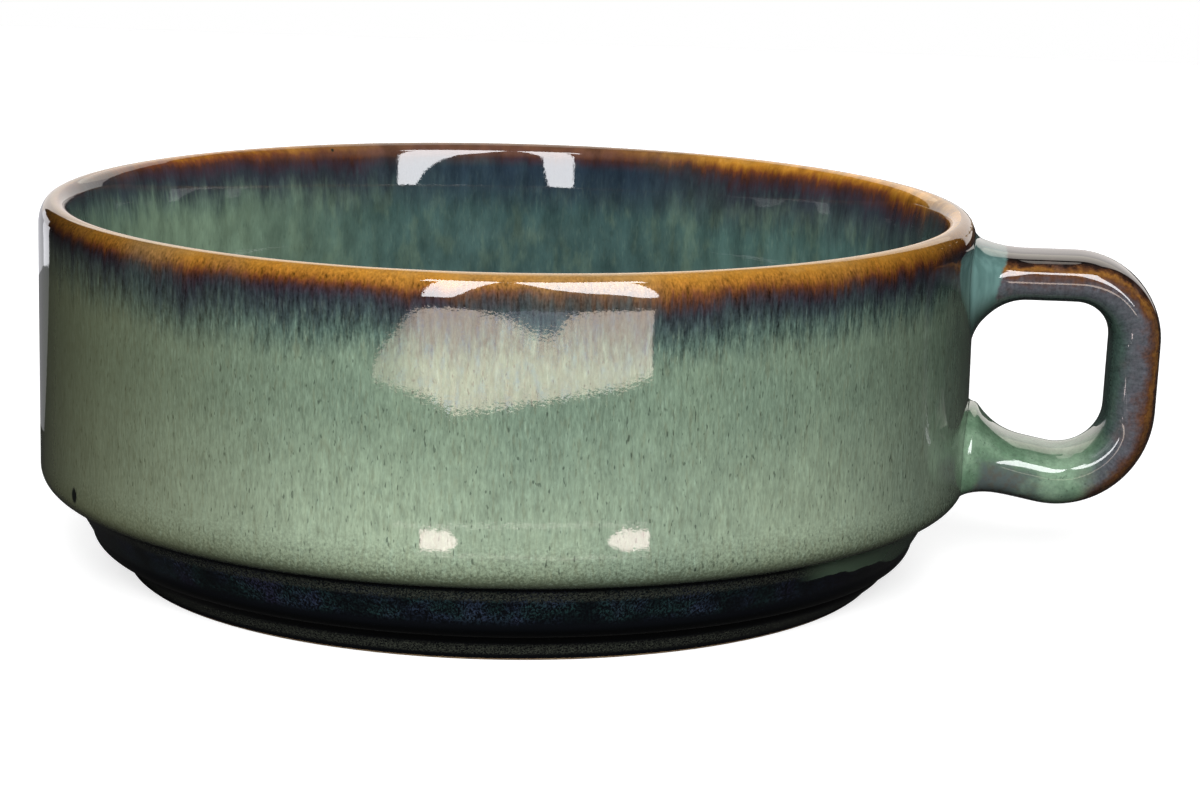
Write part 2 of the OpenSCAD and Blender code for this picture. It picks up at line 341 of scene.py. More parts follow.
def handleSection(h, path, at, depth, grown=0):
    # a rounded section (power sectionPower) carried along the centre line, swelling at both roots;
    # at[row, column] is the length along, and grown is added all round
    s, place, direction, marks, slant = path
    centre, ahead = (np.stack([np.interp(at, s, part) for part in track.T], -1) for track in (place, direction))
    toGrip = smooth((at - marks[1]) / (marks[2] - marks[1]))
    toLow = smooth((at - marks[3]) / (marks[4] - marks[3]))
    thick = (h["armThick"] + (h["gripThick"] - h["armThick"]) * toGrip) * (1 - toLow) + h["lowThick"] * toLow
    wide = (h["armWide"] + (h["gripWide"] - h["armWide"]) * toGrip) * (1 - toLow) + h["armWide"] * toLow
    high, low = (np.clip(1 - np.clip(away, 0, None) / h["rootLength"], 0, 1) ** h["rootPower"]
                 for away in (at - h["bury"], s[-1] - at - h["bury"] * slant))
    outer = thick / 2 + h["upperOver"] * high + h["lowerUnder"] * low - depth + grown
    inner = thick / 2 + h["upperUnder"] * high + h["lowerOver"] * low - depth + grown
    side = wide / 2 + h["rootSide"] * (high + low) - depth + grown
    a = np.arange(h["sides"]) * 2 * np.pi / h["sides"]
    power = 2 / h["sectionPower"]
    up, across = ((np.sign(wave) * np.abs(wave) ** power)[None, :] for wave in (np.sin(a), np.cos(a)))
    tall = np.where(up > 0, outer, inner) * up
    x = centre[..., 0] - ahead[..., 1] * tall
    z = centre[..., 1] + ahead[..., 0] * tall
    return np.stack([x, side * across, z], -1), centre, ahead


def handleGrid(h, b, depth):
    # for every column the lengths at which it leaves the wall at the top and meets it again below;
    # the rows run evenly between those, closer at the ends, where a quarter-round fillet runs out onto the wall
    path = handleLine(h, b)
    total = path[0][-1]
    fine = np.linspace(0, total, h["probes"])
    columns = h["sides"]
    probe, _, _ = handleSection(h, path, np.repeat(fine[:, None], columns, 1), depth)
    clear = np.hypot(probe[..., 0], probe[..., 1]) > wallRadiusAt(probe[..., 2])
    middle = h["probes"] // 2
    leave = fine[middle - np.argmin(clear[:middle][::-1], axis=0)]
    meet = fine[middle + np.argmin(clear[middle:], axis=0)]
    a = np.arange(columns) * 2 * np.pi / columns
    under = smooth(np.sin(a) - h["underFrom"])
    start = h["fillet"] + 0 * a
    end = h["fillet"] + (h["filletUnder"] - h["fillet"]) * under
    near = (np.arange(h["filletRows"]) / h["filletRows"])[:, None] ** 2
    count = int((total - 2 * h["bury"]) / h["rowLength"])
    run = np.linspace(0, 1, count)[:, None]
    at = np.concatenate([leave + near * start, leave + start + (meet - end - leave - start) * run,
                         (meet - near * end)[::-1]])
    grown = 0
    if depth == 0:
        rounds = [length * (1 - np.sqrt(1 - np.clip(1 - d / length, 0, 1) ** 2))
                  for d, length in ((at - leave, start), (meet - at, end))]
        grown = rounds[0] * h["filletTop"] + rounds[1] * (h["lowGrown"] + h["lowGrownUnder"] * under)
    place, centre, ahead = handleSection(h, path, at, depth, grown)
    # the fillets' rims are let down onto the wall, along the handle's own line
    for edge, way, distance, length in ((0, 1, at - leave, start), (-1, -1, meet - at, end)):
        dx, dz = way * ahead[edge, :, 0], way * ahead[edge, :, 1]
        slide = np.zeros(columns)
        for _ in range(h["passes"]):
            reached = np.hypot(place[edge, :, 0] + slide * dx, place[edge, :, 1])
            slide -= (reached - wallRadiusAt(place[edge, :, 2] + slide * dz)) / np.clip(dx, 0.5, None)
        follow = np.clip(1 - distance / length, 0, 1) ** 2
        place[..., 0] += follow * slide * dx
        place[..., 2] += follow * slide * dz
    guide = place - np.stack([centre[..., 0], 0 * centre[..., 0], centre[..., 1]], -1)
    # for the glaze: distance along in cm, and how far round, outward from -1 to +1 and across from -1 to +1
    facts = np.stack([(at - h["bury"]) / 10, np.sin(a) + 0 * at, np.cos(a) + 0 * at], -1)
    return place, gridNormals(place, guide), facts


def buildHandle(h, b):
    # the outer skin, and the inner skin one glaze thickness below it
    outer, outerNormal, facts = handleGrid(h, b, 0)
    inner, innerNormal, _ = handleGrid(h, b, b["glaze"])
    grids = [(outer, outerNormal, 1), (inner, innerNormal, -1)]
    piece = joinGrids("handle_coat", grids, [((0, 0), (1, 0), -1), ((0, -1), (1, -1), 1)])
    store = piece.data.attributes.new("loopPlace", "FLOAT_VECTOR", "POINT")
    store.data.foreach_set("vector", np.concatenate([facts.reshape(-1, 3)] * 2).ravel())
    print("handle coat:", len(piece.data.polygons), "faces,", round(float(facts[..., 0].max()), 2), "cm along")
    return piece


handleCoat = buildHandle(handle, bowl)


# node helpers

def rgb(red, green, blue):
    # a screen colour of 0 to 255 as the linear values that a shader takes:
    # c / 12.92 up to 0.04045, and ((c + 0.055) / 1.055) ** 2.4 above
    c = np.array([red, green, blue]) / 255
    return (*np.where(c <= 0.04045, c / 12.92, ((c + 0.055) / 1.055) ** 2.4), 1.0)


class Paint:
    # the node tree of a material or of the world, with a short call for each kind of node;
    # noises is a table of noises by name, and values the sockets that the rows of a table can name
    def __init__(self, owner, noises=None):
        owner.use_nodes = True
        self.owner, self.tree, self.noises = owner, owner.node_tree, noises
        self.tree.nodes.clear()
        self.place = self.node("TexCoord").outputs["Object"]
        self.values = dict(zip("xyz", self.node("SeparateXYZ", Vector=self.place).outputs))

    def node(self, kind, **sockets):
        # a new node whose sockets of the given names take the given values
        node = self.tree.nodes.new("ShaderNode" + kind)
        self.put(node, sockets, sockets.values())
        return node

    def put(self, node, keys, values):
        # the sockets of those names or numbers take the values: a link from a socket, or else the value itself
        for key, value in zip(keys, values):
            if isinstance(value, bpy.types.NodeSocket):
                self.tree.links.new(value, node.inputs[key])
            else:
                node.inputs[key].default_value = value

    def math(self, kind, *values):
        # the sum that the kind names, such as a * b + c for MULTIPLY_ADD
        node = self.node("Math")
        node.operation = kind
        self.put(node, range(3), values)
        return node.outputs[0]

    def chain(self, kind, first, others):
        # first + second + third and so on for ADD, and their product for MULTIPLY
        for other in others:
            first = self.math(kind, first, other)
        return first

    def length(self, vector):
        # square root of xx + yy + zz
        node = self.node("VectorMath", Vector=vector)
        node.operation = "LENGTH"
        return node.outputs["Value"]

    def stretched(self, vector, scale, shift=(0, 0, 0)):
        # vector * scale + shift, axis by axis
        return self.node("Mapping", Vector=vector, Scale=scale, Location=shift).outputs[0]

    def noise(self, vector, scale, detail, roughness=0.5):
        # layers of noise, each twice as fine as the last and roughness times as strong
        return self.node("TexNoise", Vector=vector, Scale=scale, Detail=detail, Roughness=roughness).outputs[0]

    def span(self, value, low, high, toLow=0, toHigh=1, soft=True):
        # toLow + (toHigh - toLow) * u, where u = (value - low) / (high - low), kept to 0 .. 1 and eased when soft
        node = self.node("MapRange")
        node.interpolation_type = "SMOOTHSTEP" if soft else "LINEAR"
        self.put(node, range(5), (value, low, high, toLow, toHigh))
        return node.outputs[0]

    def value(self, key):
        # a named value, or a noise (x, y, z / length), which is drawn out down the wall, made when first asked for
        if key not in self.values:
            scale, length, detail, roughness = self.noises[key]
            self.values[key] = self.noise(self.stretched(self.place, (1, 1, 1 / length)), scale, detail, roughness)
        return self.values[key]

    def factor(self, key, *numbers):
        # a span of the named value, or with one number the noise's middle range drawn out to -number .. number
        if len(numbers) == 1:
            return self.span(self.value(key), 0.3, 0.7, -numbers[0], numbers[0], False)
        return self.span(self.value(key), *numbers)

    def share(self, *factors):
        # the product of the factors
        return self.chain("MULTIPLY", self.factor(*factors[0]), [self.factor(*factor) for factor in factors[1:]])

    def total(self, start, rows):
        # start + the sum of the rows' products
        return self.chain("ADD", start, [self.share(*row) for row in rows])

    def mix(self, share, a, b, kind="MIX"):
        # a * (1 - share) + b * share, for colours
        node = self.node("Mix")
        node.data_type = "RGBA"
        node.blend_type = kind
        self.put(node, (0, 6, 7), (share, a, b))
        return node.outputs[2]

    def layered(self, colour, palette, rows):
        # each row's colour laid over the last, with the product of the row's factors as its share
        for shade, *factors in rows:
            colour = self.mix(self.share(*factors), colour, palette[shade])
        return colour

    def tinted(self, colour, amount):
        # colour * amount
        grey = self.node("CombineColor", Red=amount, Green=amount, Blue=amount)
        return self.mix(1, colour, grey.outputs[0], "MULTIPLY")

    def ramp(self, value, palette, bands):
        # the bands' colours at their places, blended in straight lines
        node = self.node("ValToRGB", Fac=value)
        points = node.color_ramp.elements
        while len(points) < len(bands):
            points.new(0.5)
        for point, (spot, shade) in zip(points, bands):
            point.position = spot
            point.color = palette[shade]
        return node.outputs[0]

    def close(self, shader):
        # the shader becomes the output
        self.node("OutputMaterial", Surface=shader.outputs[0])
        return self.owner

    def finish(self, colour, roughness, height, distance, strength):
        # a shader whose normal leans by the slope of height * distance
        bump = self.node("Bump", Height=height, Distance=distance, Strength=strength)
        shader = self.node("BsdfPrincipled", Roughness=roughness, Normal=bump.outputs[0])
        self.put(shader, ["Base Color"], [colour])
        return self.close(shader)


def newMaterial(name, noises=None):
    # the paint of a new material
    return Paint(bpy.data.materials.new(name), noises)


# glazes

# A factor in the tables is (value, low, high, result at low, result at high), with results of 0 and 1 if none are
# given, or (noise, amount) for -amount .. amount. The factors of a row are multiplied.
# Values are x, y and z in metres, height, depth below the lip and counted depth in mm, and the noises.
# A noise is (fineness per metre, length over width down the wall, detail, roughness).

glaze = dict(
    gloss=0.03, relief=(0.00002, 0.6), peel=0.2,
    thinGlazeAndHighlight=rgb(222, 192, 150), cream=rgb(180, 130, 58), honey=rgb(166, 114, 40), amber=rgb(140, 90, 32),
    brown=rgb(100, 56, 32), umber=rgb(66, 42, 38), plum=rgb(54, 43, 50), ink=rgb(45, 49, 56), navy=rgb(54, 66, 68),
    teal=rgb(80, 99, 90), green=rgb(116, 135, 115), pale=rgb(151, 167, 143), olive=rgb(106, 108, 84),
    shoulder=rgb(107, 118, 96), pit=rgb(34, 42, 36), mint=rgb(146, 168, 148), spruce=rgb(82, 106, 98),
    deep=rgb(62, 86, 83), reed=rgb(98, 116, 97), lake=rgb(73, 96, 89), khaki=rgb(100, 100, 70),
    dusk=rgb(96, 68, 58), moss=rgb(84, 92, 72), black=rgb(14, 18, 14), night=rgb(32, 48, 62),
    fringe=26,  # mm of depth below the lip that the colour bands take
    noises=dict(
        fine=(3200, 4, 2, 0.6), thread=(1500, 6, 3, 0.6), run=(420, 6, 3, 0.6),
        broad=(75, 3, 2, 0.6), blotch=(300, 2.4, 3, 0.6), mint=(2300, 5, 2, 0.6),
        olive=(1900, 5, 2, 0.6), dash=(2600, 3, 1, 0.6), soft=(330, 2.2, 2, 0.5),
        grain=(2600, 1, 3, 0.65), clouds=(38, 1 / 0.45, 3, 0.5), mottle=(330, 2, 2, 0.5),
        sparse=(130, 1, 1, 0.5), peel=(2200, 1, 2, 0.5), swell=(90, 1, 2, 0.5),
    ),
    waver=((1, 1, 0), (0.31, 0.1, 0)), waverNoise=(22, 1), uneven=[(("grain", 1.2),)],
    pits=(1, 1, 0.7), pitFineness=260,
    scar=((1, 1, 0.8), (0.0554, 0.0395, -0.013)),  # one dark pit low on the left: stretch, and shift to the middle
    toGround=("counted", 9, 22), toLowest=("depth", 14, 38),
    grainy=("height", 22, 15), grain=[(("grain", 0.42),)],
)
loose, below, atBack = ("depth", 0.8, 6, 0.34, 1), ("counted", 3, 12), ("y", 0, 0.02)
bandTop, bandFoot = ("counted", 0.3, 1.2), ("counted", 12, 8)
inRise = ("depth", 0.6, 5, 0.6, 1)
# painted shade: the first of these darkens the glaze low down, where the outside turns under to the ledge and the
# inside curves to its floor
shoulder, clouded = ("shoulder", ("height", 19, 13.5)), ("spruce", ("clouds", 0.45, 0.7, 0, 0.3))
pitted = ("pit", ("pits", 0.09, 0.05), ("sparse", 0.62, 0.68))
crownLineAndHighlight = ("thinGlazeAndHighlight", ("depth", 0.2, 0.05, 0, 0.3))  # the thinnest line of all runs along the crown, its pale cream partly a painted highlight


def reachRows(drip, left, right, rise):
    # the bands reach further down along each run, and are narrower on the left and wider on the handle's side
    runs = [((key, amount), loose) for key, amount in (("thread", 0.8 * drip), ("run", drip), ("broad", drip))]
    return runs + [(("x", -0.066, -0.034, left, 0), rise), (("x", -0.02, 0.045, 0, right), rise),
                   (("waver", 0.35, 0.65, -0.3, 0.3), rise)]


def threadRows(share, dashes):
    # threads of mint and olive, and dark dashes where the coat has opened
    return [("mint", ("mint", 0.52, 0.74, 0, share), below),
            ("olive", ("olive", 0.52, 0.7, 0, share * 0.8), below), ("pit", ("dash", 0.63, 0.77, 0, dashes), below)]


outsideRun = dict(
    bands=[(0, "cream"), (0.6, "honey"), (1.6, "amber"), (2.3, "brown"), (2.9, "umber"), (3.5, "plum"),
           (4.5, "ink"), (6.2, "navy"), (8.6, "teal"), (12, "green"), (20, "green")],
    ground="green", lowest="pale",
    counted=reachRows(0.9, 1.1, -0.3, ("depth", 0.6, 5, 0.25, 1)) + [
        # the dark band reaches lower on the left, ends sooner on the right and is darkest right of the middle
        (("x", -0.034, 0.026, -0.6, 0.8), ("depth", 3.6, 8)),
        (("x", -0.006, 0.01), ("x", 0.036, 0.022, 0, -1), ("depth", 2, 5))],
    over=[shoulder, clouded] + threadRows(0.36, 0.6),
    streaks=[
        # drawn out on the wall, and standing out most in the dark band
        (("fine", 0.19),), (("thread", 0.12),), (("mottle", 0.07),), (bandTop, bandFoot, ("grain", 0.16)),
        (bandTop, bandFoot, ("fine", 0.2)), (bandTop, bandFoot, ("thread", 0.26))],
    # painted shade: darker towards both sides of the wall and most at its edges; also darker near the lip on the far
    # left
    paintedSideLighting=[
        (("x", -0.006, -0.034, 0, -0.16),), (("x", 0.02, 0.045, 0, -0.09),),
        (("limb", 0.044, 0.067, 0, -0.26),), (("x", -0.036, -0.062, 0, -0.3), ("depth", 5, 2.5))],
    last=[
        # darker down to the ledge, more olive on the side away from the handle, and the pits
        ("moss", ("uneven", 15.6, 12.6, 0, 0.7)), ("khaki", below, ("x", -0.015, -0.062, 0, 0.6)),
        ("black", ("scar", 0.0011, 0.0006)), pitted, crownLineAndHighlight],
)
insideRun = dict(
    bands=[(0, "cream"), (0.5, "honey"), (1, "amber"), (1.6, "brown"), (2.3, "umber"), (3.2, "plum"),
           (4.6, "ink"), (7.6, "navy"), (12, "deep"), (20, "lake")],
    ground="deep", lowest="lake",
    counted=reachRows(1, 2.6, -0.7, inRise) + [(("x", -0.05, -0.02), ("x", 0.034, 0.004, 0, 0.9), inRise)],
    over=[
        shoulder, ("reed", ("counted", 5, 12), ("x", -0.02, -0.06)), clouded,
        ("reed", ("blotch", 0.48, 0.66, 0, 0.42), below),
        # at the back the lip is duller, and the band under it is bluer and reaches lower
        ("dusk", ("x", -0.05, -0.025), ("x", 0.03, 0.004, 0, 0.85), atBack, ("depth", 2.6, 1.4)),
        ("night", ("x", -0.036, -0.014), ("x", 0.03, 0.012, 0, 0.72), atBack, ("depth", 2.6, 4.2),
         ("depth", 12.5, 6, 0.32, 1))] + threadRows(0.06, 0.2),
    # soft blotches, a few times longer than wide
    streaks=[(("fine", 0.08),), (("soft", 0.26),), (bandTop, bandFoot, ("thread", 0.1)), (("mottle", 0.07),)],
    # painted light: lighter towards both sides of the inside
    paintedSideLighting=[(("x", -0.035, -0.064, 0, 0.6),), (("x", 0.018, 0.052, 0, 0.42),)],
    last=[pitted, crownLineAndHighlight],
)


def runningGlaze(name, side):
    # bands of colour read by the counted depth, the rows of "over" laid on, times 1 + the streaks on the wall or
    # 1 + the grain on the shoulder, times 1 + the painted side lighting (painted shade towards the sides outside,
    # painted light towards the sides inside), and the rows of "last" laid on
    paint = newMaterial(name, glaze["noises"])
    values, place = paint.values, paint.place
    height = paint.math("MULTIPLY", values["z"], 1 / mm)
    values["height"], values["depth"] = height, paint.math("SUBTRACT", bowl["height"], height)
    values["waver"] = paint.noise(paint.stretched(place, *glaze["waver"]), *glaze["waverNoise"])
    pits = paint.node("TexVoronoi", Vector=paint.stretched(place, glaze["pits"]), Scale=glaze["pitFineness"])
    values["pits"] = pits.outputs["Distance"]  # to the nearest of scattered points
    if side is outsideRun:
        values["limb"] = paint.math("ABSOLUTE", values["x"])
        values["uneven"] = paint.total(height, glaze["uneven"])
        values["scar"] = paint.length(paint.stretched(place, *glaze["scar"]))
    values["counted"] = counted = paint.total(values["depth"], side["counted"])
    colour = paint.ramp(paint.math("DIVIDE", counted, glaze["fringe"]), glaze,
                        [(spot / glaze["fringe"], shade) for spot, shade in side["bands"]])
    # below the bands the ground lightens towards the shoulder
    ground = paint.layered(glaze[side["ground"]], glaze, [(side["lowest"], glaze["toLowest"])])
    colour = paint.mix(paint.factor(*glaze["toGround"]), colour, ground)
    colour = paint.layered(colour, glaze, side["over"])
    texture = paint.node("Mix")
    drawn, grain = paint.total(1, side["streaks"]), paint.total(1, glaze["grain"])
    paint.put(texture, (0, 2, 3), (paint.factor(*glaze["grainy"]), drawn, grain))
    colour = paint.tinted(colour, texture.outputs[0])
    colour = paint.layered(paint.tinted(colour, paint.total(1, side["paintedSideLighting"])), glaze, side["last"])
    relief = paint.math("MULTIPLY_ADD", paint.value("peel"), glaze["peel"], paint.value("swell"))
    return paint.finish(colour, glaze["gloss"], relief, *glaze["relief"])


outsideGlaze = runningGlaze("outside_glaze", outsideRun)
insideGlaze = runningGlaze("inside_glaze", insideRun)

footPaint = dict(
    black=rgb(9, 11, 15), blue=rgb(56, 70, 92), violet=rgb(54, 54, 80), sea=rgb(42, 70, 70), grey=rgb(78, 82, 72),
    dark=rgb(3, 4, 5), green=rgb(98, 120, 98), gloss=0.06, relief=(0.00003, 0.6),
    noises=dict(fleck=(3400, 2, 2, 0.7), cloud=(150, 1 / 0.6, 3, 0.5), hue=(210, 1, 2, 0.5),
                dots=(3800, 1, 2, 0.7), wave=(160, 1, 3, 0.5), dimple=(500, 1, 2, 0.5)),
    shades=[("sea", ("hue", 0.4, 0.6)), ("violet", ("cloud", 0.5, 0.7))],
    flecks=[("fleck", 0.4, 0.72), ("cloud", 0.36, 0.6, 0.15, 1), ("height", 6.2, 7.6),
            ("height", 11, 10, 0.3, 1), ("x", 0.03, 0.055, 1, 0.15)],
    waveHeight=2.2, waveDrop=("x", 0.05, 0.062, 0, -2.6),
    over=[
        # speckled grey just under the ledge and again on the ring, and painted shade in black in the crease between
        # them and along the ledge's edge
        ("grey", ("height", 9.9, 10.7), ("height", 11.9, 11.4), ("dots", 0.36, 0.72)),
        ("grey", ("height", 0.8, 1.4), ("height", 3, 2.2), ("dots", 0.36, 0.72)),
        ("dark", ("height", 2.6, 3.2), ("height", 6.4, 5.2)), ("dark", ("height", 11.8, 12.2)),
        # towards the handle the green has run on over the ledge, down to a wavy edge
        ("green", ("aboveEdge", 8.3, 8.55), ("x", 0.044, 0.05))],
)


def footGlazeMaterial(name, c):
    # black with the share of flecks in blue, sea and violet, and the rows of "over" laid on
    paint = newMaterial(name, c["noises"])
    height = paint.values["height"] = paint.math("MULTIPLY", paint.values["z"], 1 / mm)
    wave = paint.math("MULTIPLY_ADD", paint.value("wave"), c["waveHeight"], paint.factor(*c["waveDrop"]))
    paint.values["aboveEdge"] = paint.math("SUBTRACT", height, wave)
    colour = paint.mix(paint.share(*c["flecks"]), c["black"], paint.layered(c["blue"], c, c["shades"]))
    return paint.finish(paint.layered(colour, c, c["over"]), c["gloss"], paint.value("dimple"), *c["relief"])


footGlaze = footGlazeMaterial("foot_glaze", footPaint)

handlePaint = dict(
    teal=rgb(66, 86, 80), moss=rgb(66, 84, 78), slate=rgb(70, 78, 80), lilac=rgb(82, 82, 88), plum=rgb(82, 64, 60),
    rust=rgb(94, 60, 36), amber=rgb(132, 90, 42), bark=rgb(50, 33, 26), black=rgb(22, 18, 18),
    collar=rgb(98, 130, 126), collarDark=rgb(64, 94, 90), celadon=rgb(122, 148, 124), leaf=rgb(92, 120, 96),
    swirl=rgb(78, 84, 88), speck=rgb(60, 74, 62), gloss=0.03, relief=(0.00005, 0.5),
    noises=dict(cloud=(130, 1, 4, 0.6), fine=(900, 1, 3, 0.65), tiny=(2400, 1, 2, 0.6),
                speck=(2100, 1, 3, 0.5), collar=(500, 4, 3, 0.6), dip=(130, 1, 2, 0.5)),
    marks=(1, 0.12, 0.12), markNoise=(17, 3, 0.7),
    rusty=((1, 1, 1), (0.2, 0, 0.1)), rustNoise=(210, 4, 0.65), reachLean=-0.35, collarLean=-0.12,
    # each sum is (name, first value, terms); along is in cm, and outward goes from -1 on the inner side to +1
    sums=[("across", "outward", ("cloud", 0.2), ("fine", 0.12), ("along", 2.6, 1.6, 0, 0.22)),
          ("underside", "outward", ("fine", 0.15)), ("swirlStart", "along", ("cloud", 0.5)),
          ("swirlEnd", "along", ("cloud", 0.1)), ("swirlSide", "outward", ("cloud", -0.3)),
          ("reach", "reachSlant", ("cloud", 0.3)), ("collarReach", "collarSlant", ("fine", 0.02))],
    # dark outer edge, amber, plum, slate and a teal inner side; the amber is wider on the arm
    acrossTo=(-1.2, 1.2, 0, 1, False),
    bands=[(0.08, "teal"), (0.24, "moss"), (0.36, "slate"), (0.54, "lilac"), (0.63, "plum"), (0.70, "rust"),
           (0.77, "amber"), (0.82, "rust"), (0.87, "bark"), (0.93, "black")],
    # towards the lower arm the amber turns to dark rust
    armOver=[("plum", ("rusty", 0.5, 0.68, 0, 0.45), ("outward", -0.9, -0.2)),
             ("bark", ("along", 3.3, 4.4, 0, 0.7), ("outward", 0.2, 0.6))],
    # short dark and light marks across the arm, as the amber broke into drops
    armTints=[(("marks", 0.24),), (("tiny", 0.22),)],
    # the lower arm is celadon, with leaf-green clouds and dark specks
    lowOver=[("leaf", ("cloud", 0.4, 0.62)), ("speck", ("speck", 0.62, 0.72, 0, 0.5))],
    lowTints=[(("fine", 0.14),), (("tiny", 0.12),)],
    # a slate and brown cloud near its lower root, dark along the underside
    swirls=[("plum", ("fine", 0.44, 0.66, 0, 0.55))],
    swirlShare=[("swirlStart", 5.2, 6.2, 0, 0.85), ("swirlSide", -0.45, 0), ("swirlEnd", 6.75, 6.55)],
    under=[("bark", ("underside", 0.55, 0.95, 0, 0.8))], lowArm=("reach", 4.6, 5.3),
    # a teal collar where the arm leaves the wall, ending on a slant
    collarOver=[("collarDark", ("collar", 0.4, 0.62, 0, 0.5)), ("moss", ("outward", 0, -0.7))],
    collarEnd=("collarReach", 0.36, 0.3),
)


def handleGlazeMaterial(name, c):
    # bands of colour across the section, with the lower arm and the collar laid over them by the length along
    paint = newMaterial(name, c["noises"])
    attribute = paint.node("Attribute")
    attribute.attribute_name = "loopPlace"
    values, loop = paint.values, attribute.outputs["Vector"]
    along, outward, _ = paint.node("SeparateXYZ", Vector=loop).outputs
    values["along"], values["outward"] = along, outward
    values["reachSlant"] = paint.math("MULTIPLY_ADD", outward, c["reachLean"], along)
    values["collarSlant"] = paint.math("MULTIPLY_ADD", outward, c["collarLean"], along)
    values["marks"] = paint.noise(paint.stretched(loop, c["marks"]), *c["markNoise"])
    values["rusty"] = paint.noise(paint.stretched(paint.place, *c["rusty"]), *c["rustNoise"])
    for key, start, *terms in c["sums"]:
        values[key] = paint.total(values[start], [(term,) for term in terms])
    colour = paint.ramp(paint.span(values["across"], *c["acrossTo"]), c, c["bands"])
    colour = paint.tinted(paint.layered(colour, c, c["armOver"]), paint.total(1, c["armTints"]))
    lower = paint.tinted(paint.layered(c["celadon"], c, c["lowOver"]), paint.total(1, c["lowTints"]))
    lower = paint.mix(paint.share(*c["swirlShare"]), lower, paint.layered(c["swirl"], c, c["swirls"]))
    colour = paint.mix(paint.factor(*c["lowArm"]), colour, paint.layered(lower, c, c["under"]))
    colour = paint.mix(paint.factor(*c["collarEnd"]), colour, paint.layered(c["collar"], c, c["collarOver"]))
    return paint.finish(colour, c["gloss"], paint.value("dip"), *c["relief"])


handleGlaze = handleGlazeMaterial("handle_glaze", handlePaint)

clay = dict(
    light=rgb(176, 148, 112), dark=rgb(128, 98, 68), slip=rgb(140, 110, 80), roughness=0.75, relief=(0.0001, 0.6),
    noises=dict(grain=(900, 1, 5, 0.7), patch=(70, 1, 3, 0.5)),
    over=[("dark", ("grain", 0.35, 0.7)), ("dark", ("patch", 0.45, 0.7, 0, 0.5))],
)


def clayMaterial(name, ground, c):
    # the ground colour, with dark laid on by a fine grain and by larger patches
    paint = newMaterial(name, c["noises"])
    return paint.finish(paint.layered(ground, c, c["over"]), c["roughness"], paint.value("grain"), *c["relief"])


clayBody = clayMaterial("bare_clay", clay["light"], clay)
slipBody = clayMaterial("slip", clay["slip"], clay)
print("glazes mixed")

for piece, material, node in ((insideCoat, insideGlaze, "inside_glaze"), (outsideCoat, outsideGlaze, "outside_glaze"),
                              (footCoat, footGlaze, "foot_glaze"), (handleCoat, handleGlaze, "handle_glaze")):
    piece.data.materials.append(material)
    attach(piece, "root")
    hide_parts(node)

for node, material in (("stoneware_bowl", clayBody), ("stoneware_handle", clayBody), ("upper_slip_joint", slipBody),
                       ("lower_slip_joint", slipBody), ("underside_glaze", footGlaze)):
    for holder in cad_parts[node].material_slots:
        holder.material = material


# table, backdrop and lamps

studio = dict(
    white=(1, 1, 1, 1), worldShade=(0.018, 0.018, 0.018, 1), worldDark=(0.01, 0.01, 0.01, 1),
    floorSize=1.6, floorShade=(0.5, 0.5, 0.5, 1), floorBounce=(0.1, 0.1, 0.1, 1), floorDark=(0.03, 0.03, 0.03, 1),
    floorGlow=(0.12, 0.4, 0.74, 1),  # from this distance in metres to that, the glow that the camera sees
    lampAim=(0, 0, 0.03),
)


def setWorld(s):
    # white to the camera, a plain grey as light, and nearly dark in reflections
    world = bpy.data.worlds.new("studio")
    bpy.context.scene.world = world
    paint = Paint(world)
    rays = paint.node("LightPath").outputs
    tone = paint.mix(rays["Is Glossy Ray"], s["worldShade"], s["worldDark"])
    tone = paint.mix(rays["Is Camera Ray"], tone, s["white"])
    paint.node("OutputWorld", Surface=paint.node("Background", Color=tone).outputs[0])


def layFloor(s):
    # a flat square whose glow, seen by the camera alone, rises to white with the distance from the mug
    half = s["floorSize"] / 2
    mesh = bpy.data.meshes.new("table_top")
    mesh.from_pydata([(-half, -half, 0), (half, -half, 0), (half, half, 0), (-half, half, 0)], [], [(0, 1, 2, 3)])
    floor = bpy.data.objects.new("table_top", mesh)
    bpy.context.collection.objects.link(floor)
    paint = newMaterial("table_white")
    rays = paint.node("LightPath").outputs
    tone = paint.mix(rays["Is Diffuse Ray"], s["floorShade"], s["floorBounce"])
    tone = paint.mix(rays["Is Glossy Ray"], tone, s["floorDark"])
    rise = paint.span(paint.length(paint.place), *s["floorGlow"], False)
    glow = paint.node("Emission", Strength=paint.math("MULTIPLY", rays["Is Camera Ray"], rise))
    both = paint.node("AddShader")
    paint.put(both, (0, 1), (paint.node("BsdfDiffuse", Color=tone).outputs[0], glow.outputs[0]))
    mesh.materials.append(paint.close(both))


def direction(azimuth, elevation):
    # (sin a cos e, -cos a cos e, sin e), for azimuths counted from the front towards the handle
    a, e = np.radians(azimuth), np.radians(elevation)
    return np.stack([np.sin(a) * np.cos(e), -np.cos(a) * np.cos(e), np.sin(e) + 0 * a], -1)


def hangLamp(name, power, size, place):
    # a square lamp turned to the mug, which reflections don't see
    data = bpy.data.lights.new(name, "AREA")
    data.energy = power
    data.size = size
    lamp = bpy.data.objects.new(name, data)
    lamp.location = place
    lamp.rotation_euler = (Vector(place) - Vector(studio["lampAim"])).to_track_quat("Z", "Y").to_euler()
    lamp.visible_glossy = False
    bpy.context.collection.objects.link(lamp)


# name, power in watts, and size and place in metres
lamps = [("key_lamp", 13.2, 0.42, direction(6.5, 30)), ("top_lamp", 1, 0.6, (0, 0.1, 0.8)),
         ("back_lamp", 9, 0.42, direction(186.5, 14))]

